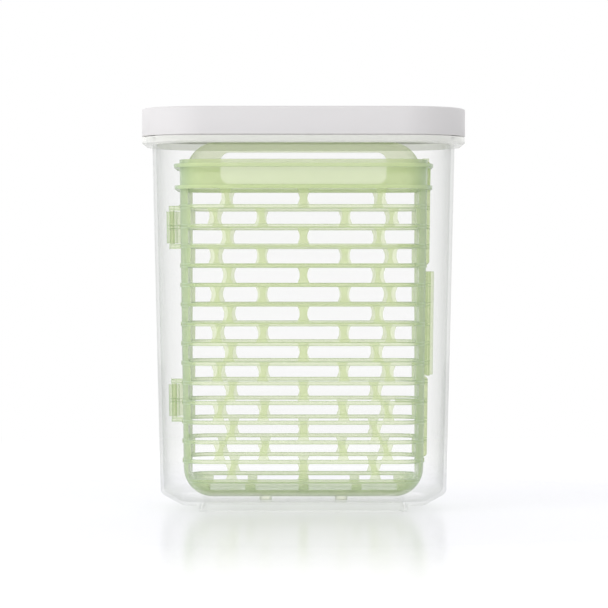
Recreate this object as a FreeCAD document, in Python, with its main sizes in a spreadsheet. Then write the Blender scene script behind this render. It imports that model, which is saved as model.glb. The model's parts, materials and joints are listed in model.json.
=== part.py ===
"""A herb keeper: a clear rounded-rectangular container, a lid, and a clamshell basket that lifts out.

Millimetres. +Z is up, +X is to the right and the front faces -Y. The origin is the middle of the
container's footprint, on the surface that it stands on.
"""
import FreeCAD, Part

import math
import os
import re

import Sketcher
from FreeCAD import Placement, Rotation, Vector

# Driving dimensions: alias, millimetres or degrees, what it is.
SIZES = [
    # container
    ("rim_length", 170.0, "container rim and lid, outside length"),
    ("rim_depth", 114.0, "container rim and lid, outside depth"),
    ("rim_corner", 34.0, "container rim and lid, corner radius"),
    ("rim_top", 196.0, "top face of the rim flange"),
    ("rim_thickness", 3.2, "thickness of the rim flange"),
    ("mouth_top", 207.6, "top of the neck that stands up inside the lid"),
    ("mouth_length", 160.0, "outside length of the neck at its top"),
    ("mouth_depth", 105.2, "outside depth of the neck at its top"),
    ("mouth_corner", 30.6, "corner radius of the neck at its top"),
    ("container_draft", 1.34, "lean of the container walls, degrees"),
    ("container_wall", 1.8, "container wall"),
    ("container_base", 2.9, "underside of the container floor"),
    ("container_floor", 2.1, "thickness of the container floor"),
    ("container_slope", 10.6, "sloping edge under the container wall, length along the floor"),
    ("container_rise", 6.0, "sloping edge under the container wall, height"),
    ("foot_inset", 20.4, "foot ring, in from the bottom of the wall"),
    ("foot_corner", 14.0, "foot ring, corner radius"),
    ("foot_wall", 1.8, "foot ring, thickness"),
    # lid
    ("lid_gap", 0.5, "shadow gap between the lid and the rim flange"),
    ("lid_height", 14.5, "lid, outside height"),
    ("lid_wall", 1.8, "lid skirt, thickness"),
    ("lid_top", 2.2, "lid top, thickness"),
    ("lid_bevel", 1.2, "lid, bevel round the top edge"),
    ("plug_wall", 1.6, "ring under the lid, thickness"),
    ("plug_reach", 15.0, "ring under the lid, reach below the lid top"),
    ("plug_clearance", 0.4, "ring under the lid, clearance inside the neck"),
    # basket
    ("basket_length", 130.9, "basket, outside length at the handle top"),
    ("basket_depth", 77.8, "basket, outside depth at the handle top"),
    ("basket_corner", 15.4, "basket, corner radius from above and between wall and floor"),
    ("basket_draft", 0.75, "lean of the basket walls, degrees"),
    ("basket_wall", 1.8, "basket wall"),
    ("basket_base", 7.1, "underside of the basket floor"),
    ("basket_floor", 1.9, "thickness of the basket floor"),
    ("handle_top", 196.4, "top of the handle on the back half"),
    ("band_top", 184.4, "top of the plain band round the basket"),
    ("parting_gap", 0.2, "gap between the two basket halves"),
    ("rib_proud", 3.0, "rings on the band, how far they stand out"),
    ("rib_height", 1.9, "rings on the band, height"),
    ("upper_rib", 180.3, "underside of the upper ring"),
    ("peg_reach", 1.9, "feet under the basket, height"),
    ("peg_radius", 3.2, "feet under the basket, radius"),
    ("peg_side", 20.0, "feet under the basket, out from the middle to the side"),
    ("peg_depth", 19.0, "feet under the basket, out from the parting line"),
    # grille
    ("bar_height", 2.15, "grille bar, height"),
    ("bar_pitch", 10.28, "grille bars, from one to the next"),
    ("first_bar", 159.7, "middle of the top grille bar"),
    ("bar_proud", 0.5, "ribs on the side walls, how far they stand out"),
    ("bar_stop", 2.6, "ribs on the side walls, how far they end before the corner"),
    ("grille_reach", 60.4, "openings of the top row, half length"),
    ("short_row_stop", 1.4, "even rows, how much shorter at each end"),
    ("pillar_waist", 4.1, "pillar, width at half height"),
    ("pillar_neck", 2.6, "pillar, height of its narrow middle"),
    ("pillar_flare", 7.0, "pillar, width at a bar"),
    ("odd_pillar", 40.7, "odd rows, outer pillar out from the middle, top row"),
    ("even_inner_pillar", 22.3, "even rows, inner pillar out from the middle, top row"),
    ("even_outer_pillar", 47.0, "even rows, outer pillar out from the middle, top row"),
    ("column_focus", 1890.0, "pillar columns, how far below they would meet"),
    ("drain_pillar", 27.8, "bottom row, pillar out from the middle"),
    ("drain_pillar_width", 5.2, "bottom row, pillar width"),
    ("drain_reach", 49.0, "bottom row, half length"),
    ("drain_sill", 2.2, "bottom row, lower edge above the basket floor"),
    # handle
    ("handle_flat", 47.6, "handle, half length of its level top"),
    ("handle_corner", 15.8, "handle, radius of its shoulders"),
    ("window_length", 90.8, "hand opening, length"),
    ("window_bottom", 173.7, "hand opening, lower edge"),
    ("window_top", 190.9, "hand opening, upper edge"),
    ("window_corner", 5.0, "hand opening, corner radius"),
    ("window_frame", 2.2, "raised frame round the hand opening, width"),
    ("window_frame_proud", 1.0, "raised frame, how far it stands out"),
    ("grip_proud", 2.6, "lip along the handle top, how far it stands out"),
    ("grip_height", 1.9, "lip along the handle top, height"),
    # hinges on the left
    ("hinge_out", 5.4, "hinge axis, out from the wall"),
    ("hinge_pin", 1.25, "hinge pin, radius"),
    ("hinge_play", 0.08, "hinge pin, radial clearance in the hook"),
    ("hook_wall", 1.6, "hook round the pin, thickness"),
    ("ear_height", 2.7, "ear that carries the pin, height"),
    ("ear_rim", 0.35, "ear round the pin, thickness"),
    ("ear_root", 4.8, "ear, width where it leaves the wall"),
    ("hinge_height", 23.0, "hinge, from ear to ear"),
    ("hook_height", 17.0, "hook, height"),
    ("hook_mouth", 2.0, "hook, width of the mouth that snaps over the pin"),
    ("hook_arm_near", 1.0, "hook arm, near side, back from the parting line"),
    ("hook_arm_far", 3.0, "hook arm, far side, back from the parting line"),
    ("upper_hinge", 149.3, "middle of the upper hinge"),
    ("lower_hinge", 57.1, "middle of the lower hinge"),
    # closing side on the right
    ("seam_proud", 2.6, "closing strips, how far they stand out"),
    ("seam_thickness", 1.1, "closing strips, thickness of each"),
    ("seam_round", 2.0, "closing strips, radius at their ends"),
    ("root_depth", 0.9, "how far what stands on a wall goes into it"),
    ("upper_seam_bottom", 129.3, "upper closing strips, lower end"),
    ("lower_seam_top", 69.8, "lower closing strips, upper end"),
    ("lower_seam_bottom", 26.8, "lower closing strips, lower end"),
    ("latch_top", 125.8, "latch, upper end"),
    ("latch_bottom", 70.6, "latch, lower end"),
    ("latch_wall", 1.4, "latch arm, thickness"),
    ("latch_stand", 1.5, "latch arm, gap to the basket wall"),
    ("latch_root", 14.0, "latch arm, root in front of the parting line"),
    ("latch_tip", 5.0, "latch arm, tip behind the parting line"),
    ("latch_block", 3.0, "block that the latch arm grows from, depth"),
    ("latch_seat", 0.1, "latch arm, gap to the block that it grows from"),
    ("latch_hook", 0.7, "latch hook, how far it reaches in"),
    ("latch_lip", 2.5, "finger lip on the latch, how far it stands out"),
    ("latch_lip_wall", 1.2, "finger lip on the latch, thickness"),
    ("latch_play", 0.3, "latch hook, clearance behind the catch"),
    ("catch_proud", 1.2, "catch on the back half, how far it stands out"),
    ("catch_width", 1.6, "catch on the back half, width"),
    ("tab_length", 14.4, "locating tab inside the closing side, length"),
    ("tab_reach", 8.0, "locating tab, reach past the parting line"),
    ("tab_height", 1.9, "locating tab, height, a little less than a bar"),
    ("tab_play", 0.3, "locating tab, clearance inside the back half"),
    ("upper_tab", 2, "upper locating tab, bars down from the top one"),
    ("lower_tab", 10, "lower locating tab, bars down from the top one"),
    ("nub_height", 1.6, "nub on the closing strip, height"),
    ("nub_length", 3.6, "nub on the closing strip, length"),
]

doc = FreeCAD.newDocument("herb_keeper")
sheet = doc.addObject("Spreadsheet::Sheet", "Sizes")
for row, (alias, value, meaning) in enumerate(SIZES, 1):
    sheet.set(f"A{row}", alias)
    sheet.set(f"B{row}", str(value))
    sheet.set(f"C{row}", meaning)
    sheet.setAlias(f"B{row}", alias)
doc.recompute()

ALIASES = {alias for alias, value, meaning in SIZES}
TINY = 1e-4  # millimetres by which two heights may differ and still be the same
LOWER_RIB = "first_bar + bar_pitch - bar_height / 2"  # underside of the lower ring


def cells(text):
    """The expression text with each size's name pointed at its cell."""
    return re.sub(r"[a-z_]+", lambda m: f"Sizes.{m[0]}" if m[0] in ALIASES else m[0], text)


def size(text):
    """The value of an expression in the sizes, in millimetres or degrees."""
    total = sheet.evalExpression(cells(text))
    return float(getattr(total, "Value", total))


def bind(thing, **properties):
    """Ties properties to the sheet; a double underscore stands for a dot."""
    for name, text in properties.items():
        thing.setExpression(name.replace("__", "."), cells(text))


# ---------------------------------------------------------------- sketches


def body(name):
    made = doc.addObject("PartDesign::Body", name)
    made.Label = name
    return made


def sketch_on(part, role, offset):
    """An empty sketch on one of a body's own planes, moved along its normal."""
    plane = next(f for f in part.Origin.OriginFeatures if f.Role == role)
    sketch = part.newObject("Sketcher::SketchObject", part.Name + "_outline")
    sketch.AttachmentSupport = [(plane, "")]
    sketch.MapMode = "FlatFace"
    bind(sketch, AttachmentOffset__Base__z=offset)
    return sketch


def add_dimension(sketch, kind, where, name, text):
    """A named driving dimension tied to the sheet."""
    index = sketch.addConstraint(Sketcher.Constraint(kind, *where, abs(size(text))))
    sketch.renameConstraint(index, name)
    bind(sketch, **{f"Constraints__{name}": text})


def draw_rounded_rectangle(sketch, length, depth, corner, tag=""):
    """A rounded rectangle centred on the sketch's origin, fully constrained."""
    x, y, r = size(length) / 2, size(depth) / 2, size(corner)
    first = sketch.GeometryCount
    sides = [((r - x, -y), (x - r, -y)), ((x, r - y), (x, y - r)),
             ((x - r, y), (r - x, y)), ((-x, y - r), (-x, r - y))]
    for start, end in sides:
        sketch.addGeometry(Part.LineSegment(Vector(*start, 0), Vector(*end, 0)), False)
    middles = [(x - r, r - y), (x - r, y - r), (r - x, y - r), (r - x, r - y)]
    for turn, middle in enumerate(middles):
        circle = Part.Circle(Vector(*middle, 0), Vector(0, 0, 1), r)
        start = math.radians(90 * turn - 90)
        sketch.addGeometry(Part.ArcOfCircle(circle, start, start + math.pi / 2), False)
    bottom, right, top, left, arc = first, first + 1, first + 2, first + 3, first + 4
    ties = []
    for turn in range(4):
        ties.append(Sketcher.Constraint("Tangent", first + turn, 2, arc + turn, 1))
        ties.append(Sketcher.Constraint("Tangent", arc + turn, 2, first + (turn + 1) % 4, 1))
        if turn:
            ties.append(Sketcher.Constraint("Equal", arc, arc + turn))
    ties += [Sketcher.Constraint("Horizontal", top), Sketcher.Constraint("Vertical", left)]
    ties.append(Sketcher.Constraint("Symmetric", bottom, 1, bottom, 2, -2))
    ties.append(Sketcher.Constraint("Symmetric", right, 1, right, 2, -1))
    sketch.addConstraint(ties)
    add_dimension(sketch, "DistanceX", (left, 1, right, 1), "length" + tag, length)
    add_dimension(sketch, "DistanceY", (bottom, 1, top, 1), "depth" + tag, depth)
    add_dimension(sketch, "Radius", (arc,), "corner" + tag, corner)


def draw_polygon(sketch, corners, tag=""):
    """A closed outline through corners given as pairs of expressions, each tied to the sheet."""
    points = [Vector(size(x), size(y), 0) for x, y in corners]
    first, count = sketch.GeometryCount, len(points)
    for turn in range(count):
        sketch.addGeometry(Part.LineSegment(points[turn], points[(turn + 1) % count]), False)
    ends = [(first + turn, 2, first + (turn + 1) % count, 1) for turn in range(count)]
    sketch.addConstraint([Sketcher.Constraint("Coincident", *pair) for pair in ends])
    for turn, (x, y) in enumerate(corners):
        for kind, letter, text in (("DistanceX", "x", x), ("DistanceY", "y", y)):
            index = sketch.addConstraint(Sketcher.Constraint(kind, first + turn, 1, size(text)))
            sketch.renameConstraint(index, f"{letter}{turn}{tag}")
            bind(sketch, **{f"Constraints__{letter}{turn}{tag}": text})


def draw_rectangle(sketch, left, right, low, high):
    draw_polygon(sketch, [(left, low), (right, low), (right, high), (left, high)])


def draw_circle(sketch, x, y, radius, tag=""):
    middle = Vector(size(x), size(y), 0)
    circle = sketch.addGeometry(Part.Circle(middle, Vector(0, 0, 1), size(radius)), False)
    for kind, letter, text in (("DistanceX", "x", x), ("DistanceY", "y", y)):
        index = sketch.addConstraint(Sketcher.Constraint(kind, circle, 3, size(text)))
        sketch.renameConstraint(index, f"{letter}{tag}")
        bind(sketch, **{f"Constraints__{letter}{tag}": text})
    add_dimension(sketch, "Radius", (circle,), "radius" + tag, radius)


# ---------------------------------------------------------------- solids


def pad(part, sketch, length, down=False):
    made = part.newObject("PartDesign::Pad", part.Name + "_pad")
    made.Profile = sketch
    made.Reversed = down
    bind(made, Length=length)
    doc.recompute()
    return made


def pocket(part, sketch, length, down=True):
    """A cut that has to take material away, or the build stops."""
    before = part.Shape.Volume
    made = part.newObject("PartDesign::Pocket", part.Name + "_pocket")
    made.Profile = sketch
    made.Reversed = not down
    bind(made, Length=length)
    doc.recompute()
    if part.Shape.Volume > before - 1e-6:
        raise RuntimeError(f"{made.Name} cuts nothing")
    return made


def dress(part, feature, kind, amount, wanted):
    """A fillet or a chamfer on the edges of a feature that a test picks."""
    names = [f"Edge{n}" for n, edge in enumerate(feature.Shape.Edges, 1) if wanted(edge.BoundBox)]
    made = part.newObject(f"PartDesign::{kind}", f"{part.Name}_{kind.lower()}")
    made.Base = (feature, names)
    bind(made, **{"Radius" if kind == "Fillet" else "Size": amount})
    doc.recompute()
    return made


def leaning_block(part, top, bottom, length, depth, draft):
    """A rectangular block, drawn at its top, with its four sides leaning in on the way down."""
    sketch = sketch_on(part, "XY_Plane", top)
    draw_rectangle(sketch, f"-({length}) / 2", f"({length}) / 2", f"-({depth}) / 2", f"({depth}) / 2")
    upright = pad(part, sketch, f"({top}) - ({bottom})", down=True)
    faces = {f"Face{n}": face.BoundBox for n, face in enumerate(upright.Shape.Faces, 1)}
    made = part.newObject("PartDesign::Draft", part.Name + "_draft")
    made.Base = (upright, [name for name, box in faces.items() if box.ZLength > TINY])
    made.NeutralPlane = (upright, [name for name, box in faces.items() if box.ZMin > size(top) - TINY])
    made.Reversed = True
    bind(made, Angle=draft)
    doc.recompute()
    return made


def vessel(name, top, bottom, length, depth, corner, draft, foot=None):
    """A leaning block with round corners. Its foot is as round as they are, or slopes by (length, rise)."""
    part = body(name)
    blank = leaning_block(part, top, bottom, length, depth, draft)
    high, low = size(top), size(bottom)
    if foot is None:
        dress(part, blank, "Fillet", corner, lambda box: box.ZMin < low + TINY)
    else:
        upright = dress(part, blank, "Fillet", corner,
                        lambda box: box.ZMin < low + TINY and box.ZMax > high - TINY)
        slope, rise = foot
        sloped = dress(part, upright, "Chamfer", rise, lambda box: box.ZMax < low + TINY)
        sloped.ChamferType = "Two distances"
        bind(sloped, Size2=slope)
        doc.recompute()
    return part


def plate(name, bottom, height, length, depth, corner):
    """A level rounded-rectangular plate."""
    part = body(name)
    sketch = sketch_on(part, "XY_Plane", bottom)
    draw_rounded_rectangle(sketch, length, depth, corner)
    pad(part, sketch, height)
    return part


def joined(name, *pieces):
    made = doc.addObject("Part::MultiFuse", name)
    made.Shapes = list(pieces)
    doc.recompute()
    return made


def cut(name, base, tool):
    made = doc.addObject("Part::Cut", name)
    made.Base, made.Tool = base, tool
    doc.recompute()
    return made


def common(name, *pieces):
    made = doc.addObject("Part::MultiCommon", name)
    made.Shapes = list(pieces)
    doc.recompute()
    return made


def group(name, *pieces):
    """Solids that don't touch each other, as one tool."""
    made = doc.addObject("Part::Compound", name)
    made.Links = list(pieces)
    doc.recompute()
    return made


def block(name, low, high):
    """A plain block between two corners given as expressions."""
    made = doc.addObject("Part::Box", name)
    bind(made, Placement__Base__x=low[0], Placement__Base__y=low[1], Placement__Base__z=low[2],
         Length=f"({high[0]}) - ({low[0]})", Width=f"({high[1]}) - ({low[1]})",
         Height=f"({high[2]}) - ({low[2]})")
    return made


# ---------------------------------------------------------------- container


def make_container():
    """A drawn-up shell with a flange round it, a neck above and a foot ring below."""
    outside = vessel("container_outside", "mouth_top", "container_base", "mouth_length", "mouth_depth",
                     "mouth_corner", "container_draft", ("container_slope", "container_rise"))
    inside = vessel("container_inside", "mouth_top", "container_base + container_floor",
                    "mouth_length - 2 * container_wall", "mouth_depth - 2 * container_wall",
                    "mouth_corner - container_wall", "container_draft",
                    ("container_slope - container_wall", "container_rise - container_wall / 2"))
    flange = plate("container_flange", "rim_top - rim_thickness", "rim_thickness", "rim_length", "rim_depth",
                   "rim_corner")
    foot = body("container_foot")
    sketch = sketch_on(foot, "XY_Plane", "0")
    spread = "2 * (foot_inset + tan(container_draft * 1deg) * (mouth_top - container_base))"
    draw_rounded_rectangle(sketch, f"mouth_length - {spread}", f"mouth_depth - {spread}", "foot_corner")
    draw_rounded_rectangle(sketch, f"mouth_length - {spread} - 2 * foot_wall",
                           f"mouth_depth - {spread} - 2 * foot_wall", "foot_corner - foot_wall", tag="_inner")
    pad(foot, sketch, "container_base + container_floor / 2")
    return cut("container", joined("container_blank", outside, flange, foot), inside)


# ---------------------------------------------------------------- lid


def make_lid():
    """A flat cap with a plain skirt, and a ring below that plugs the container's neck."""
    lid = body("lid")
    low = "rim_top + lid_gap"
    sketch = sketch_on(lid, "XY_Plane", low)
    draw_rounded_rectangle(sketch, "rim_length", "rim_depth", "rim_corner")
    cap = pad(lid, sketch, "lid_height")
    crown = size(f"{low} + lid_height")
    dress(lid, cap, "Chamfer", "lid_bevel", lambda box: box.ZMin > crown - TINY)
    hollow = sketch_on(lid, "XY_Plane", low)
    draw_rounded_rectangle(hollow, "rim_length - 2 * lid_wall", "rim_depth - 2 * lid_wall",
                           "rim_corner - lid_wall")
    pocket(lid, hollow, "lid_height - lid_top", down=False)
    ring = sketch_on(lid, "XY_Plane", f"{low} + lid_height - lid_top / 2")
    side = "2 * (container_wall + plug_clearance + tan(container_draft * 1deg) * plug_reach)"
    draw_rounded_rectangle(ring, f"mouth_length - {side}", f"mouth_depth - {side}",
                           "mouth_corner - container_wall - plug_clearance")
    draw_rounded_rectangle(ring, f"mouth_length - {side} - 2 * plug_wall",
                           f"mouth_depth - {side} - 2 * plug_wall",
                           "mouth_corner - container_wall - plug_clearance - plug_wall", tag="_inner")
    pad(lid, ring, "plug_reach - lid_top / 2", down=True)
    return lid


# ---------------------------------------------------------------- basket


def basket_form(name, grow, top, bottom):
    """The basket's leaning outline, moved outwards by an expression."""
    spread = f"2 * ({grow}) - 2 * tan(basket_draft * 1deg) * (handle_top - ({top}))"
    return vessel(name, top, bottom, f"basket_length + {spread}", f"basket_depth + {spread}",
                  f"basket_corner + ({grow})", "basket_draft")


def ring_plate(name, bottom):
    """A level ring that stands out all round the band."""
    spread = f"2 * rib_proud - 2 * tan(basket_draft * 1deg) * (handle_top - {bottom})"
    return plate(name, bottom, "rib_height", f"basket_length + {spread}", f"basket_depth + {spread}",
                 "basket_corner + rib_proud")


def prism(name, length, height, middle, corner):
    """A rounded rectangle seen from the front, pushed from the parting line through the back."""
    part = body(name)
    sketch = sketch_on(part, "XZ_Plane", "-parting_gap / 2")
    bind(sketch, AttachmentOffset__Base__y=middle)
    draw_rounded_rectangle(sketch, length, height, corner)
    pad(part, sketch, "rim_depth", down=True)
    return part


def wall_body(name, side):
    """A body whose Z runs up a side wall of the basket, with the wall's outside at x = 0."""
    part = body(name)
    part.Placement = Placement(Vector(0, 0, 0), Rotation(Vector(0, 1, 0), side * size("basket_draft")))
    bind(part, Placement__Base__x=f"{side} * basket_length / 2", Placement__Base__z="handle_top",
         Placement__Rotation__Angle=f"{side} * basket_draft")
    return part


def upright_on_wall(part, low, high, draw, cutting=False):
    """An outline drawn on a wall body, made from one height to another."""
    sketch = sketch_on(part, "XY_Plane", f"({low}) - handle_top")
    draw(sketch)
    height = f"({high}) - ({low})"
    return pocket(part, sketch, height, down=False) if cutting else pad(part, sketch, height)


# ---------------------------------------------------------------- grille


def bar_count():
    """As many bars as fit between the lower ring and the basket's floor."""
    return int(size("first_bar - bar_height - basket_base - basket_floor") // size("bar_pitch")) + 1


def pattern(part, feature, direction, count, length):
    """Repeats the last feature downwards."""
    made = part.newObject("PartDesign::LinearPattern", part.Name + "_pattern")
    made.Originals = [feature]
    made.Direction = direction
    made.Reversed = True
    made.Occurrences = count
    bind(made, Length=length)
    part.Tip = made
    doc.recompute()
    return made


def make_side_ribs(side):
    """The bars carried on over a closed side wall as low ribs."""
    ribs = wall_body("ribs_left" if side < 0 else "ribs_right", side)
    ribs.AllowCompound = True
    reach = "basket_depth / 2 - basket_corner - bar_stop"
    outward, inward = f"{side} * bar_proud", f"{-side} * root_depth"
    first = upright_on_wall(ribs, "first_bar - bar_height / 2", "first_bar + bar_height / 2",
                            lambda sketch: draw_rectangle(sketch, inward, outward, f"-({reach})", reach))
    above_foot = int(size("first_bar - basket_base - basket_corner") // size("bar_pitch")) + 1
    pattern(ribs, first, (first.Profile[0], ["N_Axis"]), above_foot, f"bar_pitch * {above_foot - 1}")
    return ribs


def make_rows(name, row, reach, pillars):
    """Every second row of the grille as solids, from one row down, less the pillars that stand in it.

    The pillars stand in columns that lean towards the middle going down, in step with how far out they are.
    """
    rows = body(name)
    rows.AllowCompound = True
    outline = sketch_on(rows, "XZ_Plane", "rim_depth")
    bar = f"first_bar + bar_pitch * (1 - {row})"
    draw_rectangle(outline, f"-({reach})", reach, f"{bar} + bar_height / 2",
                   f"{bar} + bar_pitch - bar_height / 2")
    first = pad(rows, outline, "2 * rim_depth", down=True)
    count = (bar_count() - row) // 2 + 1
    pattern(rows, first, (outline, ["V_Axis"]), count, f"2 * bar_pitch * {count - 1}")
    for out in pillars:
        sketch = sketch_on(rows, "XZ_Plane", "rim_depth")
        draw_pillar(sketch, out, f"{bar} + bar_pitch / 2")
        cutter = pocket(rows, sketch, "2 * rim_depth")
        line = rows.newObject("PartDesign::Line", name + "_lean")
        angle = math.degrees(math.atan(size(out) / size("column_focus")))
        line.Placement = Placement(Vector(0, 0, 0), Rotation(Vector(0, 1, 0), angle))
        bind(line, Placement__Rotation__Angle=f"atan(({out}) / column_focus)")
        pattern(rows, cutter, (line, [""]), count, f"2 * bar_pitch * {count - 1} / cos({angle} * 1deg)")
    return rows


def draw_pillar(sketch, out, middle):
    """A waisted pillar, from the middle of one bar to the middle of the next."""
    right = [(f"{out} + pillar_flare / 2", f"{middle} - bar_pitch / 2"),
             (f"{out} + pillar_waist / 2", f"{middle} - pillar_neck / 2"),
             (f"{out} + pillar_waist / 2", f"{middle} + pillar_neck / 2"),
             (f"{out} + pillar_flare / 2", f"{middle} + bar_pitch / 2")]
    left = [(x.replace(" + ", " - ", 1), y) for x, y in reversed(right)]
    draw_polygon(sketch, right + left)


def make_drains():
    """The shallow openings where the grille turns under into the floor."""
    drains = body("drain_row")
    drains.AllowCompound = True
    bottom = "basket_base + basket_floor + drain_sill"
    top = f"first_bar - bar_pitch * {bar_count() - 1} - bar_height / 2"
    outline = sketch_on(drains, "XZ_Plane", "rim_depth")
    draw_rectangle(outline, "-drain_reach", "drain_reach", bottom, top)
    pad(drains, outline, "2 * rim_depth", down=True)
    for middle in ("0", "drain_pillar", "-drain_pillar"):
        post = sketch_on(drains, "XZ_Plane", "rim_depth")
        draw_rectangle(post, f"{middle} - drain_pillar_width / 2", f"{middle} + drain_pillar_width / 2",
                       f"{bottom} - bar_height", f"{top} + bar_height")
        pocket(drains, post, "2 * rim_depth")
    return drains


# ---------------------------------------------------------------- band, handle, closing strips


def make_strip(name, low, high):
    """A pair of closing strips as one, which the parting gap divides."""
    strip = wall_body(name, 1)
    reach = "parting_gap / 2 + seam_thickness"
    near = f"-({reach})"
    blank = upright_on_wall(strip, low, high,
                            lambda sketch: draw_rectangle(sketch, "-root_depth", "seam_proud", near, reach))
    outside = size("seam_proud")
    dress(strip, blank, "Fillet", "seam_round", lambda box: box.XMin > outside - TINY and box.ZLength < TINY)
    return strip


def handle_prism(name, inset):
    """The handle seen from the front: a level top with round shoulders, moved inwards by an expression."""
    rise = "handle_top - band_top + handle_corner"
    return prism(name, f"2 * (handle_flat + handle_corner - ({inset}))", f"2 * ({rise} - ({inset}))",
                 f"handle_top - ({rise})", f"handle_corner - ({inset})")


def make_grip(handle):
    """The lip that follows the handle's edge down to the band."""
    edge = cut("grip_edge", handle, handle_prism("grip_inner", "grip_height"))
    above = block("above_band", ("-rim_length", "0", "band_top"), ("rim_length", "rim_depth", "handle_top"))
    return common("grip", basket_form("grip_form", "grip_proud", "handle_top", "basket_base"), edge, above)


def window_prism(name, margin):
    """The hand opening seen from the front, made larger all round by an expression."""
    return prism(name, f"window_length + 2 * ({margin})", f"window_top - window_bottom + 2 * ({margin})",
                 "(window_top + window_bottom) / 2", f"window_corner + ({margin})")


def make_window_edge():
    """The raised edge round the hand opening, before the opening is cut."""
    return common("window_edge", basket_form("edge_form", "window_frame_proud", "handle_top", "basket_base"),
                  window_prism("edge_outline", "window_frame"))


def make_pegs():
    """The feet that the basket stands on."""
    pegs = body("pegs")
    pegs.AllowCompound = True
    sketch = sketch_on(pegs, "XY_Plane", "basket_base - peg_reach")
    middles = [(x, y) for x in ("peg_side", "-peg_side") for y in ("peg_depth", "-peg_depth")]
    for tag, (x, y) in enumerate(middles):
        draw_circle(sketch, x, y, "peg_radius", str(tag))
    pad(pegs, sketch, "peg_reach + basket_floor / 2")
    return pegs


# ---------------------------------------------------------------- hinges and latch


def draw_ear_web(sketch):
    near, far = "-(parting_gap / 2 + hinge_play)", "-(hinge_pin + ear_rim)"
    draw_polygon(sketch, [("root_depth", "-ear_root"), ("-hinge_out", far), ("-hinge_out", near),
                          ("root_depth", near)])


def make_pin(name, middle):
    """A hinge pin between two ears, which stand on the front half."""
    pin = wall_body(name, -1)
    low, high = f"{middle} - hinge_height / 2", f"{middle} + hinge_height / 2"
    upright_on_wall(pin, low, high, lambda sketch: draw_circle(sketch, "-hinge_out", "0", "hinge_pin"))
    for bottom, top in ((low, f"{low} + ear_height"), (f"{high} - ear_height", high)):
        upright_on_wall(pin, bottom, top,
                        lambda sketch: draw_circle(sketch, "-hinge_out", "0", "hinge_pin + ear_rim"))
        upright_on_wall(pin, bottom, top, draw_ear_web)
    return pin


def make_hook(name, middle):
    """A hook on the back half, open to the front, which snaps over a hinge pin."""
    hook = wall_body(name, -1)
    low, high = f"{middle} - hook_height / 2", f"{middle} + hook_height / 2"
    bore, outside = "hinge_pin + hinge_play", "hinge_pin + hinge_play + hook_wall"
    upright_on_wall(hook, low, high, lambda sketch: draw_circle(sketch, "-hinge_out", "0", outside))
    arm = ("-hinge_out", "root_depth", "hook_arm_near", "hook_arm_far")
    upright_on_wall(hook, low, high, lambda sketch: draw_rectangle(sketch, *arm))
    upright_on_wall(hook, low, high, lambda sketch: draw_circle(sketch, "-hinge_out", "0", bore), cutting=True)
    mouth = ("-hinge_out - hook_mouth / 2", "-hinge_out + hook_mouth / 2", f"-2 * ({outside})", "0")
    upright_on_wall(hook, low, high, lambda sketch: draw_rectangle(sketch, *mouth), cutting=True)
    return hook


def wall_block(name, left, right, near, far, low, high):
    """A plain block on the closing side's wall."""
    made = wall_body(name, 1)
    upright_on_wall(made, low, high, lambda sketch: draw_rectangle(sketch, left, right, near, far))
    return made


def make_latch():
    """A flat arm along the wall, with a hook inside its tip and a finger lip outside it."""
    latch = wall_body("basket_latch", 1)
    inner, outer = "latch_stand", "latch_stand + latch_wall"
    hook, lip = f"{inner} - latch_hook", f"{outer} + latch_lip"
    root, near, tip = "-latch_root", "latch_tip - latch_lip_wall", "latch_tip"
    outline = [(inner, root), (outer, root), (outer, near), (lip, near), (lip, tip), (hook, tip),
               (hook, near), (inner, near)]
    upright_on_wall(latch, "latch_bottom", "latch_top", lambda sketch: draw_polygon(sketch, outline))
    return latch


def make_latch_block():
    """The block on the front half that the latch arm grows from."""
    near = "-(latch_root + latch_seat + latch_block)"
    return wall_block("latch_root_block", "-root_depth", "latch_stand + latch_wall", near,
                      "-(latch_root + latch_seat)", "latch_bottom", "latch_top")


def make_catch():
    """The bead on the back half that the latch hooks behind."""
    far = "latch_tip - latch_lip_wall - latch_play"
    return wall_block("catch", "-root_depth", "catch_proud", f"{far} - catch_width", far,
                      "latch_bottom", "latch_top")


def make_tab(name, bar):
    """A tab on the front half, behind a bar, that lines the two halves up inside the closing side."""
    tab = wall_body(name, 1)
    gap, inside = "-parting_gap / 2", "-basket_wall - tab_play"
    outline = [("-tab_length", "-tab_reach"), ("-root_depth", "-tab_reach"), ("-root_depth", gap),
               (inside, gap), (inside, "tab_reach"), ("-tab_length", "tab_reach")]
    middle = f"first_bar - bar_pitch * {bar}"
    upright_on_wall(tab, f"{middle} - tab_height / 2", f"{middle} + tab_height / 2",
                    lambda sketch: draw_polygon(sketch, outline))
    return tab


# ---------------------------------------------------------------- the two halves


def make_tub(handle):
    """The closed basket before it is parted: a thin leaning tub with all that crosses the parting line."""
    outside = basket_form("basket_outside", "0", "handle_top", "basket_base")
    added = [ring_plate("upper_ring", "upper_rib"), ring_plate("lower_ring", LOWER_RIB)]
    added += [make_side_ribs(-1), make_side_ribs(1)]
    added += [make_strip("upper_strip", "upper_seam_bottom", "band_top")]
    added += [make_strip("lower_strip", "lower_seam_bottom", "lower_seam_top")]
    added += [make_grip(handle), make_window_edge(), make_pegs()]
    inside = basket_form("basket_inside", "-basket_wall", "handle_top", "basket_base + basket_floor")
    return cut("basket_tub", joined("basket_blank", outside, *added), inside)


def make_grille():
    """Everything that is open in the grille, as solids to be cut away."""
    inner, outer, odd = "even_inner_pillar", "even_outer_pillar", "odd_pillar"
    odd_rows = make_rows("odd_rows", 1, "grille_reach", ["0", odd, "-" + odd])
    even_rows = make_rows("even_rows", 2, "grille_reach - short_row_stop",
                          [inner, "-" + inner, outer, "-" + outer])
    return group("grille_openings", odd_rows, even_rows, make_drains())


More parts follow.
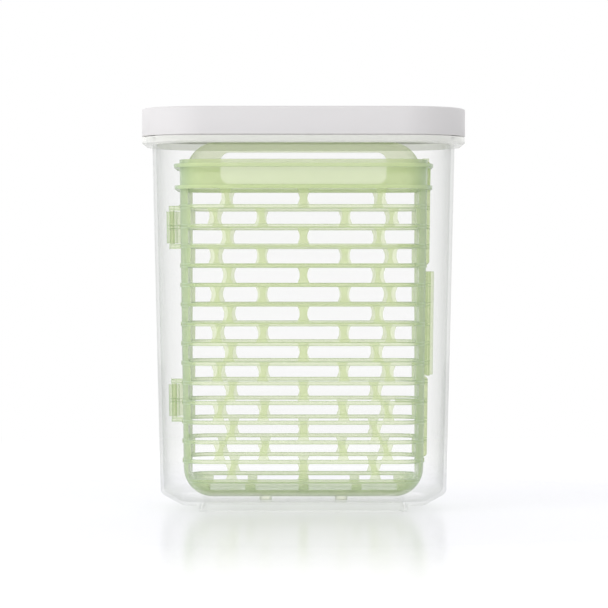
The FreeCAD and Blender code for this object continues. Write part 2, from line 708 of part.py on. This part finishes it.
def make_basket_front(tub, grille):
    region = block("front_region", ("-rim_length", "-rim_depth", "0"),
                   ("rim_length", "-parting_gap / 2", "band_top"))
    nub = wall_block("nub", "-nub_length / 2", "nub_length / 2", "-(parting_gap / 2 + seam_thickness)",
                     "-parting_gap / 2", "band_top - root_depth", "band_top + nub_height")
    blank = joined("front_blank", common("front_shell", tub, region), make_latch_block(), nub,
                   make_pin("upper_pin", "upper_hinge"), make_pin("lower_pin", "lower_hinge"),
                   make_tab("upper_tab_piece", "upper_tab"), make_tab("lower_tab_piece", "lower_tab"))
    return cut("basket_front", blank, grille)


def make_basket_back(tub, grille, handle):
    band = block("band_region", ("-rim_length", "parting_gap / 2", "0"),
                 ("rim_length", "rim_depth", "band_top"))
    shell = common("back_shell", tub, joined("back_region", band, handle))
    blank = joined("back_blank", shell, make_hook("upper_hook", "upper_hinge"),
                   make_hook("lower_hook", "lower_hinge"), make_catch())
    return cut("basket_back", blank, group("back_openings", grille, window_prism("window", "0")))


# ---------------------------------------------------------------- all of it

handle_outline = handle_prism("handle_outline", "0")
basket_tub = make_tub(handle_outline)
openings = make_grille()
PIECES = {
    "container": make_container(),
    "lid": make_lid(),
    "basket_front": make_basket_front(basket_tub, openings),
    "basket_back": make_basket_back(basket_tub, openings, handle_outline),
    "basket_latch": make_latch(),
}
doc.recompute()

for thing in doc.Objects:
    if {"Invalid", "Error"} & set(thing.State):
        raise RuntimeError(f"{thing.Label} is {thing.State}")
for node, thing in PIECES.items():
    if thing.Shape.isNull() or not thing.Shape.isValid() or len(thing.Shape.Solids) != 1:
        raise RuntimeError(f"{node} is not one sound solid")

os.makedirs("parts", exist_ok=True)
for node, thing in PIECES.items():
    thing.Label = node
    thing.Shape.exportStep(f"parts/{node}.step")
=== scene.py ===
"""The herb keeper's finished look: clear container, white lid and a green basket, in a plain studio."""
import json
import math

import bpy
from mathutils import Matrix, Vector

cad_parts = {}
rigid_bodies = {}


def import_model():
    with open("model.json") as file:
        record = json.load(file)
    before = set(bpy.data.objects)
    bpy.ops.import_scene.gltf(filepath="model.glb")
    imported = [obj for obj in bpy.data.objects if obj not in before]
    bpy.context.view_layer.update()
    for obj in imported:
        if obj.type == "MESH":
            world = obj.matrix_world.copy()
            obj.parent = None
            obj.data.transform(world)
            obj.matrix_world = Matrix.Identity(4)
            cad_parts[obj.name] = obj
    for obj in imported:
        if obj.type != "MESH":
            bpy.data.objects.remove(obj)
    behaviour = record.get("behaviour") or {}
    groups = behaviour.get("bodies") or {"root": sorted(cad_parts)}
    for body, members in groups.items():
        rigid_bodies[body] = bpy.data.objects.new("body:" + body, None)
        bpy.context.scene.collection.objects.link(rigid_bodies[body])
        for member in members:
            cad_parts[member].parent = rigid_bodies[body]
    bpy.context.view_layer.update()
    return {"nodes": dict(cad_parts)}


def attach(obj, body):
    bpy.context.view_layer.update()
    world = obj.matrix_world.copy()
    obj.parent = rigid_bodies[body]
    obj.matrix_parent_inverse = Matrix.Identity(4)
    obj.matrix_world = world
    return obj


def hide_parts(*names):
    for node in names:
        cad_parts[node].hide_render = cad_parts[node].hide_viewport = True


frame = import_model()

MM = 0.001

# Sizes in millimetres. They follow the solids, but for the lid's plug, which is 0.55 longer at each end.
RIM_LENGTH, RIM_DEPTH, RIM_CORNER = 170.0, 114.0, 34.0
RIM_TOP, RIM_THICKNESS = 196.0, 3.2
MOUTH_TOP, MOUTH_LENGTH, MOUTH_DEPTH, MOUTH_CORNER = 207.6, 160.0, 105.2, 30.6
CONTAINER_DRAFT, CONTAINER_WALL = math.radians(1.34), 1.8
CONTAINER_BASE, CONTAINER_FLOOR, CONTAINER_SLOPE, CONTAINER_RISE = 2.9, 2.1, 10.6, 6.0
FOOT_INSET, FOOT_WALL, FOOT_EASE = 20.4, 1.8, 2.0
LID_GAP, LID_HEIGHT, LID_WALL, LID_TOP = 0.5, 14.5, 1.8, 2.2
PLUG_OUT, PLUG_WALL, PLUG_REACH = 5.2, 1.6, 15.0
FIRST_BAR, BAR_HEIGHT, BAR_PITCH = 159.7, 2.15, 10.28

# Softened edges, which only the render has, in millimetres, and how finely each kind is cut.
LID_ROUND, LID_SOFT, CONTAINER_SOFT, BASKET_SOFT = 1.1, 0.3, 0.35, 0.38
CORNER_CUTS, ROUND_CUTS, EASE_CUTS, SOFT_CUTS = 20, 5, 4, 2
SHARP = math.radians(30.0)
AT = 0.01                # how near a height counts as at it
RING_ROOM = 0.2          # how far a ring may lie from where it is looked for
MERGE, FLAT = 0.001, math.radians(1.0)

# Bands of height in millimetres, each with the cover that it adds to the plastic's own.
# The flange's band makes the plastic more solid there. clear_plastic also gives it a pale colour and a glow:
# painted light that stands in for light scattered in the rim under the lid's shade.
FLANGE_BAND, FOOT_RING_BAND = (192.4, 196.4, 0.5), (-1.0, 5.2, -0.14)
BASKET_BANDS = (
    (170.8, 184.4, 0.13),     # the plain band
    (168.9, 170.8, 0.35),     # its lower ring
    (180.3, 182.2, 0.25),     # its upper ring
    (7.0, 11.0, -0.15),       # the floor
    (3.0, 7.0, -0.3))         # the feet
BAR_EDGE, BARS_FROM = 0.55, 12.0        # the painted dark line along a bar's edges, which stands in for refraction there, and the height that the bars start at

# How the see-through plastics answer to being seen edge on, how much the painted dark lines along the bars
# add, the strength of a painted glow that stands in for light shining through the plastic, and how they
# shine.
EDGE_GAIN, PAINTED_LINE_SHADE, PAINTED_LINE_COVER, GLOW = 1.5, 0.5, 0.2, 0.18
SHINE_POWER, SHINE_EDGE_ON, SHINE_FACE_ON, SHINE_ROUGHNESS = 5.0, 0.3, 0.015, 0.08

# The studio, in metres, watts and shares.
FLOOR_SIZE, FLOOR_SHADE, FLOOR_GLOW = 12.0, 0.8, 0.37
MIRROR_FROM, MIRROR_TO, MIRROR_SHARE, MIRROR_ROUGHNESS = 0.24, 0.46, 0.5, 0.17
MIRROR_TINT = (0.94, 0.94, 1.0, 1)
WHITE_FROM, WHITE_TO = 0.3, 0.7
SKY_LIGHT, SKY_SEEN = 0.6, 0.4
LAMP_AIM = (0, 0, 0.1)
SENSOR, FOCAL_PIXELS, PICTURE_PIXELS = 36.0, 2994.0, 608.0
CAMERA_PLACE, CAMERA_DOWN, CAMERA_REACH = (0.27, -1600.0, 121.2), 0.46, 50.0


# ---------------------------------------------------------------- modelling


def deselect_everything():
    for thing in bpy.context.view_layer.objects:
        thing.select_set(False)


def begin(thing):
    """Edit mode on one object, with nothing selected."""
    deselect_everything()
    thing.select_set(True)
    bpy.context.view_layer.objects.active = thing
    bpy.ops.object.mode_set(mode="EDIT")
    bpy.ops.mesh.select_all(action="DESELECT")


def end():
    bpy.ops.object.mode_set(mode="OBJECT")


def pick(thing, kind, wanted):
    """Selects the edges or faces whose lowest and highest x, y and z, in millimetres, pass a test."""
    bpy.ops.mesh.select_mode(type={"edges": "EDGE", "polygons": "FACE"}[kind])
    bpy.ops.mesh.select_all(action="DESELECT")
    bpy.ops.object.mode_set(mode="OBJECT")
    mesh = thing.data
    for element in getattr(mesh, kind):
        corners = [mesh.vertices[i].co for i in element.vertices]
        least = Vector([min(c[axis] for c in corners) for axis in range(3)]) / MM
        most = Vector([max(c[axis] for c in corners) for axis in range(3)]) / MM
        element.select = wanted(least, most)
    bpy.ops.object.mode_set(mode="EDIT")


def between(bottom, top):
    """A test for what lies between two heights."""
    return lambda least, most: least.z > bottom - AT and most.z < top + AT


def level(height):
    """A test for what lies flat at one height."""
    return between(height, height)


def climbing(least, most):
    """Passes what climbs, such as a block's four corners."""
    return most.z - least.z > AT


def ring(height, reach, wall):
    """A test for the ring that two insets leave. It also passes the strips in front of it and behind it."""
    widest = 2 * (reach - wall) - RING_ROOM

    def wanted(least, most):
        near_enough = max(abs(least.x), abs(most.x)) < reach + RING_ROOM
        return level(height)(least, most) and near_enough and most.x - least.x < widest
    return wanted


def new_block(name, length, depth, low, high):
    """A block centred over the origin, with its place in its mesh."""
    deselect_everything()
    bpy.ops.mesh.primitive_cube_add(size=1.0, location=(0, 0, (low + high) / 2 * MM))
    made = bpy.context.object
    made.name = made.data.name = name
    made.scale = (length * MM, depth * MM, (high - low) * MM)
    bpy.ops.object.transform_apply(location=True, rotation=True, scale=True)
    return made


def bevel_edges(radius, segments):
    bpy.ops.mesh.bevel(offset=radius * MM, segments=segments, affect="EDGES")


def push(rise):
    """Pulls the selected faces up, or pushes them down, with walls behind them."""
    bpy.ops.mesh.extrude_region_move(TRANSFORM_OT_translate={"value": (0, 0, rise * MM)})


def finish_piece(thing, soften):
    """Rounds the sharp edges that are left, and shades the rest smooth."""
    end()
    deselect_everything()
    thing.select_set(True)
    bpy.context.view_layer.objects.active = thing
    bevel = thing.modifiers.new("soft_edges", "BEVEL")
    bevel.width = soften * MM
    bevel.segments = SOFT_CUTS
    bevel.limit_method = "ANGLE"
    bevel.angle_limit = SHARP
    bpy.ops.object.modifier_apply(modifier=bevel.name)
    bpy.ops.object.shade_smooth_by_angle(angle=SHARP)


# ---------------------------------------------------------------- pieces


def make_lid():
    """A cap with a plain skirt, hollow below, with a plug that fills it out in front and behind."""
    low = RIM_TOP + LID_GAP
    high = low + LID_HEIGHT
    lid = new_block("lid_cap", RIM_LENGTH, RIM_DEPTH, low, high)
    begin(lid)
    pick(lid, "edges", climbing)
    bevel_edges(RIM_CORNER, CORNER_CUTS)
    pick(lid, "edges", level(high))
    bevel_edges(LID_ROUND, ROUND_CUTS)
    pick(lid, "polygons", level(low))
    bpy.ops.mesh.inset(thickness=LID_WALL * MM)
    push(LID_HEIGHT - LID_TOP)
    bpy.ops.mesh.inset(thickness=PLUG_OUT * MM)
    bpy.ops.mesh.inset(thickness=PLUG_WALL * MM)
    plug_reach = RIM_LENGTH / 2 - LID_WALL - PLUG_OUT
    pick(lid, "polygons", ring(high - LID_TOP, plug_reach, PLUG_WALL))
    push(-(PLUG_REACH - LID_TOP))
    finish_piece(lid, LID_SOFT)
    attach(lid, "lid")
    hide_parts("lid")
    return lid


def lean(height):
    """How far the container's wall has come in at a height."""
    return math.tan(CONTAINER_DRAFT) * (MOUTH_TOP - height)


def lean_in(height):
    """Brings what is selected in from the container's outline at its mouth to its outline at a height."""
    inward = lean(height)
    shares = (1 - 2 * inward / MOUTH_LENGTH, 1 - 2 * inward / MOUTH_DEPTH, 1)
    bpy.ops.transform.resize(value=shares, center_override=(0, 0, height * MM))


def slope_down(shell, turn, slope, rise):
    """Turns the selected face at a height into a smaller one lower down, with an eased slope round it."""
    bpy.ops.mesh.inset(thickness=slope * MM)
    bpy.ops.transform.translate(value=(0, 0, -rise * MM))
    pick(shell, "edges", level(turn))
    bevel_edges(FOOT_EASE, EASE_CUTS)


def widen_to_rim():
    """Brings what is selected out from the wall to the container's flange."""
    inward = lean(RIM_TOP)
    shares = (RIM_LENGTH / (MOUTH_LENGTH - 2 * inward), RIM_DEPTH / (MOUTH_DEPTH - 2 * inward), 1)
    bpy.ops.transform.resize(value=shares, center_override=(0, 0, 0))


def make_container():
    """A leaning clear shell with a flange, a neck above it, a sloping foot and a shallow stand below.

    The stand is a ring that widens to the foot's own edge in front and behind."""
    turn = CONTAINER_BASE + CONTAINER_RISE
    shell = new_block("container_shell", MOUTH_LENGTH, MOUTH_DEPTH, turn, MOUTH_TOP)
    begin(shell)
    pick(shell, "edges", climbing)
    bevel_edges(MOUTH_CORNER, CORNER_CUTS)
    pick(shell, "polygons", level(turn))
    lean_in(turn)
    slope_down(shell, turn, CONTAINER_SLOPE, CONTAINER_RISE)
    for height in (RIM_TOP - RIM_THICKNESS, RIM_TOP):
        bpy.ops.mesh.select_all(action="SELECT")
        bpy.ops.mesh.bisect(plane_co=(0, 0, height * MM), plane_no=(0, 0, 1))
    pick(shell, "polygons", between(RIM_TOP - RIM_THICKNESS, RIM_TOP))
    bpy.ops.mesh.extrude_region_move()
    widen_to_rim()
    pick(shell, "polygons", level(MOUTH_TOP))
    bpy.ops.mesh.inset(thickness=CONTAINER_WALL * MM)
    rise = CONTAINER_RISE - CONTAINER_WALL / 2
    turn = CONTAINER_BASE + CONTAINER_FLOOR + rise
    push(turn - MOUTH_TOP)
    lean_in(turn)
    slope_down(shell, turn, CONTAINER_SLOPE - CONTAINER_WALL, rise)
    pick(shell, "polygons", level(CONTAINER_BASE))
    bpy.ops.mesh.inset(thickness=(FOOT_INSET - CONTAINER_SLOPE) * MM)
    bpy.ops.mesh.inset(thickness=FOOT_WALL * MM)
    stand_reach = MOUTH_LENGTH / 2 - lean(CONTAINER_BASE) - FOOT_INSET
    pick(shell, "polygons", ring(CONTAINER_BASE, stand_reach, FOOT_WALL))
    push(-CONTAINER_BASE)
    finish_piece(shell, CONTAINER_SOFT)
    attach(shell, "container")
    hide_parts("container")
    return shell


def make_basket_piece(node, body):
    """A basket moulding with its doubles merged, its flat faces made whole and its edges softened."""
    source = frame["nodes"][node]
    made = source.copy()
    made.data = source.data.copy()
    made.name = made.data.name = node + "_moulding"
    bpy.context.scene.collection.objects.link(made)
    made.data.materials.clear()
    begin(made)
    bpy.ops.mesh.select_all(action="SELECT")
    bpy.ops.mesh.remove_doubles(threshold=MERGE * MM)
    bpy.ops.mesh.dissolve_limited(angle_limit=FLAT)
    finish_piece(made, BASKET_SOFT)
    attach(made, body)
    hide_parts(node)
    return made


# ---------------------------------------------------------------- materials


class Signal:
    """A shader socket that takes part in plain arithmetic."""

    def __init__(self, look, socket):
        self.look, self.socket = look, socket

    def combine(self, operation, *values):
        return self.look.node("ShaderNodeMath", {"operation": operation}, dict(enumerate(values)))

    def __add__(self, other):
        return self.combine("ADD", self, other)

    def __radd__(self, other):
        return self.combine("ADD", other, self)

    def __sub__(self, other):
        return self.combine("SUBTRACT", self, other)

    def __rsub__(self, other):
        return self.combine("SUBTRACT", other, self)

    def __mul__(self, other):
        return self.combine("MULTIPLY", self, other)

    def __rmul__(self, other):
        return self.combine("MULTIPLY", other, self)

    def __pow__(self, other):
        return self.combine("POWER", self, other)

    def __rpow__(self, other):
        return self.combine("POWER", other, self)

    def __gt__(self, other):
        return self.combine("GREATER_THAN", self, other)

    def __lt__(self, other):
        return self.combine("LESS_THAN", self, other)

    def __abs__(self):
        return self.combine("ABSOLUTE", self)

    def fraction(self):
        return self.combine("FRACT", self)

    def within(self, middle, reach):
        """One where it lies no further than a reach from a middle."""
        return self.combine("COMPARE", self, middle, reach)


class Look:
    """One material, built node by node."""

    def __init__(self, name, target=None):
        self.material = target or bpy.data.materials.new(name)
        self.material.use_nodes = True
        self.tree = self.material.node_tree
        self.tree.nodes.clear()

    def node(self, kind, settings=None, inputs=None, output=0):
        """A node with its settings made first and its sockets filled after; gives one of its outputs."""
        made = self.tree.nodes.new(kind)
        for name, value in (settings or {}).items():
            setattr(made, name, value)
        for key, value in (inputs or {}).items():
            socket = made.inputs[key]
            if isinstance(value, Signal):
                self.tree.links.new(value.socket, socket)
            else:
                socket.default_value = value
        return Signal(self, made.outputs[output]) if len(made.outputs) else None


def rgba(red, green, blue):
    """A colour given as it looks on screen, out of 255, as the shader needs it (the sRGB curve)."""
    def straight(value):
        value = value / 255
        return value / 12.92 if value <= 0.04045 else ((value + 0.055) / 1.055) ** 2.4
    return (straight(red), straight(green), straight(blue), 1.0)


def grey(shade):
    return (shade, shade, shade, 1)


def moulded_bump(look, scale, strength, distance):
    """The faint unevenness of a moulded face, as a bump and as the noise that it is made from."""
    place = look.node("ShaderNodeTexCoord", output="Object")
    noise = look.node("ShaderNodeTexNoise", {}, {"Vector": place, "Scale": scale, "Detail": 2.0})
    bump = look.node("ShaderNodeBump", {}, {"Height": noise, "Strength": strength, "Distance": distance})
    return bump, noise


def mix_shaders(look, share, first, second):
    return look.node("ShaderNodeMixShader", {}, {0: share, 1: first, 2: second})


def white_plastic():
    look = Look("white_plastic")
    bump, noise = moulded_bump(look, scale=60.0, strength=0.08, distance=0.0004)
    shine = look.node("ShaderNodeBsdfPrincipled", {}, {
        "Base Color": rgba(228, 226, 227), "Roughness": noise * 0.08 + 0.30, "Normal": bump,
        "Specular IOR Level": 0.45})
    look.node("ShaderNodeOutputMaterial", {}, {"Surface": shine})
    return look.material


def height_in(look):
    place = look.node("ShaderNodeTexCoord", output="Object")
    return look.node("ShaderNodeSeparateXYZ", {}, {0: place}, "Z")


def level_band(look, low, high):
    """One between two heights in millimetres, and nought elsewhere."""
    height = height_in(look)
    return (height > low * MM) * (height < high * MM)


def blend(look, share, first, second):
    """Two colours mixed by a share, through the Mix node's sockets for colours."""
    return look.node("ShaderNodeMix", {"data_type": "RGBA"}, {0: share, 6: first, 7: second}, 2)


def bar_edges(look):
    """One along the upper and lower edges of the level bars, and nought elsewhere."""
    pitches = (height_in(look) - (FIRST_BAR + BAR_PITCH / 2) * MM) * (1 / (BAR_PITCH * MM))
    from_middle = abs(pitches.fraction() - 0.5)
    return from_middle.within((BAR_HEIGHT / 2 - BAR_EDGE / 2) / BAR_PITCH, BAR_EDGE / 2 / BAR_PITCH)


def see_through(name, tint, face_on, edge_on, glow, cover, edge_cover, edge_power, bands, barred=False):
    """Plastic that lets the view through, less so seen edge on. It is a stand-in: it doesn't refract.

    Each band is (low, high, more cover, a colour or None). A band's colour is painted light: the band's body
    takes it and also gives it off as a glow."""
    look = Look(name)
    bump, noise = moulded_bump(look, scale=45.0, strength=0.06, distance=0.0004)
    edge = look.node("ShaderNodeLayerWeight", {}, {"Blend": 0.5}, "Facing")
    through = look.node("ShaderNodeBsdfTransparent", {}, {"Color": tint})
    deep = edge * EDGE_GAIN
    amount = edge ** edge_power * edge_cover + cover
    # Painted dark lines along the bars' upper and lower edges, standing in for refraction there.
    if barred:
        lines = bar_edges(look) * level_band(look, BARS_FROM, FIRST_BAR + BAR_PITCH / 2)
        deep, amount = deep + lines * PAINTED_LINE_SHADE, amount + lines * PAINTED_LINE_COVER
    body = blend(look, deep, face_on, edge_on)
    for low, high, more, colour in bands:
        band = level_band(look, low, high)
        amount = amount + band * more
        # A band's colour is painted light: it tints the body and is given off as a glow.
        if colour:
            body = blend(look, band, body, colour)
            glow = blend(look, band, glow, colour)
    # The emission is a painted glow: it stands in for light shining through the plastic, which is no lamp.
    solid = look.node("ShaderNodeBsdfPrincipled", {}, {
        "Base Color": body, "Roughness": noise * 0.06 + 0.2, "Normal": bump,
        "Emission Color": glow, "Emission Strength": GLOW})
    plastic = mix_shaders(look, amount, through, solid)
    gloss = look.node("ShaderNodeBsdfGlossy", {}, {"Color": grey(1), "Roughness": SHINE_ROUGHNESS})
    shine = edge ** SHINE_POWER * SHINE_EDGE_ON + SHINE_FACE_ON
    look.node("ShaderNodeOutputMaterial", {}, {"Surface": mix_shaders(look, shine, plastic, gloss)})
    return look.material


def clear_plastic():
    """The container's: hardly there face on, grey edge on, and more solid in its flange, with a painted pale
    colour and a painted glow there that stand in for light scattered in the rim under the lid's shade.
    """
    return see_through("clear_plastic", tint=rgba(254, 254, 254), face_on=rgba(212, 215, 213),
                       edge_on=rgba(188, 194, 192), glow=rgba(0, 0, 0), cover=0.004, edge_cover=0.24,
                       edge_power=1.8, bands=[(*FLANGE_BAND, rgba(241, 241, 238)), (*FOOT_RING_BAND, None)])


def green_plastic(name, barred):
    """The basket's: light yellow-green with a faint painted glow that stands in for light shining through it,
    and painted dark lines along the bars of a barred piece, standing in for refraction at their edges.
    """
    return see_through(name, tint=rgba(255, 255, 249), face_on=rgba(222, 238, 178),
                       edge_on=rgba(176, 197, 164), glow=rgba(150, 166, 120), cover=0.25, edge_cover=0.58,
                       edge_power=1.2, bands=[(*band, None) for band in BASKET_BANDS], barred=barred)


# ---------------------------------------------------------------- studio


def fade(look, value, start, stop, first, last):
    """Goes from one share to another between two distances, and stays level outside them."""
    return look.node("ShaderNodeMapRange", {}, {0: value, 1: start, 2: stop, 3: first, 4: last})


def make_floor():
    """A floor with a faint shadow and a soft mirror image near the keeper, plain white further out."""
    deselect_everything()
    bpy.ops.mesh.primitive_plane_add(size=FLOOR_SIZE)
    floor = bpy.context.object
    floor.name = "studio_floor"
    look = Look("studio_floor")
    camera_ray = look.node("ShaderNodeLightPath", output="Is Camera Ray")
    place = look.node("ShaderNodeTexCoord", output="Object")
    out = look.node("ShaderNodeVectorMath", {"operation": "LENGTH"}, {0: place}, "Value")
    near = fade(look, out, MIRROR_FROM, MIRROR_TO, MIRROR_SHARE, 0.0)
    far = fade(look, out, WHITE_FROM, WHITE_TO, 0.0, 1.0)
    matt = look.node("ShaderNodeBsdfDiffuse", {}, {"Color": grey(FLOOR_SHADE)})
    glow = look.node("ShaderNodeEmission", {}, {"Color": grey(1), "Strength": camera_ray * FLOOR_GLOW})
    lit = look.node("ShaderNodeAddShader", {}, {0: matt, 1: glow})
    mirror = look.node("ShaderNodeBsdfGlossy", {}, {"Color": MIRROR_TINT, "Roughness": MIRROR_ROUGHNESS})
    both = mix_shaders(look, near, lit, mirror)
    white = look.node("ShaderNodeEmission", {}, {"Color": grey(1), "Strength": 1.0})
    look.node("ShaderNodeOutputMaterial", {}, {"Surface": mix_shaders(look, far * camera_ray, both, white)})
    floor.data.materials.append(look.material)


def make_world():
    """A white sky, dimmer as a light than it looks."""
    world = bpy.data.worlds.new("studio")
    bpy.context.scene.world = world
    look = Look("studio", world)
    seen = look.node("ShaderNodeLightPath", output="Is Camera Ray")
    glossy = look.node("ShaderNodeLightPath", output="Is Glossy Ray")
    sent = look.node("ShaderNodeLightPath", output="Is Transmission Ray")
    strength = (seen + glossy + sent) * SKY_SEEN + SKY_LIGHT
    sky = look.node("ShaderNodeBackground", {}, {"Color": grey(1), "Strength": strength})
    look.node("ShaderNodeOutputWorld", {}, {"Surface": sky})


def make_lamp(name, place, width, height, watts):
    """A panel of light that no mirror image shows."""
    data = bpy.data.lights.new(name, "AREA")
    data.shape = "RECTANGLE"
    data.size, data.size_y = width, height
    data.energy = watts
    lamp = bpy.data.objects.new(name, data)
    bpy.context.scene.collection.objects.link(lamp)
    lamp.visible_glossy = False
    lamp.location = place
    lamp.rotation_euler = (Vector(LAMP_AIM) - Vector(place)).to_track_quat("-Z", "Y").to_euler()


def make_camera():
    """Far off in front, a little above the middle of the keeper and turned down by a touch."""
    data = bpy.data.cameras.new("camera")
    data.sensor_width = SENSOR
    data.lens = SENSOR * FOCAL_PIXELS / PICTURE_PIXELS
    data.clip_end = CAMERA_REACH
    camera = bpy.data.objects.new("camera", data)
    bpy.context.scene.collection.objects.link(camera)
    camera.location = [value * MM for value in CAMERA_PLACE]
    camera.rotation_euler = (math.radians(90.0 - CAMERA_DOWN), 0, 0)
    bpy.context.scene.camera = camera


# ---------------------------------------------------------------- all of it

make_camera()
lid = make_lid()
lid.data.materials.append(white_plastic())

container = make_container()
container.data.materials.append(clear_plastic())

for node, body in (("basket_front", "basket"), ("basket_back", "basket")):
    make_basket_piece(node, body).data.materials.append(green_plastic("grille_plastic", barred=True))
make_basket_piece("basket_latch", "latch").data.materials.append(green_plastic("green_plastic", barred=False))

make_floor()
make_world()
bpy.context.scene.view_settings.view_transform = "Standard"
bpy.context.scene.cycles.transparent_max_bounces = 32
make_lamp("key", (-1.25, -0.75, 0.5), width=0.9, height=0.9, watts=9.8)
make_lamp("fill", (0.9, -1.3, 0.7), width=0.8, height=0.8, watts=4.0)
make_lamp("back", (0.0, 0.9, 1.2), width=1.0, height=0.6, watts=4.0)

bpy.context.view_layer.update()
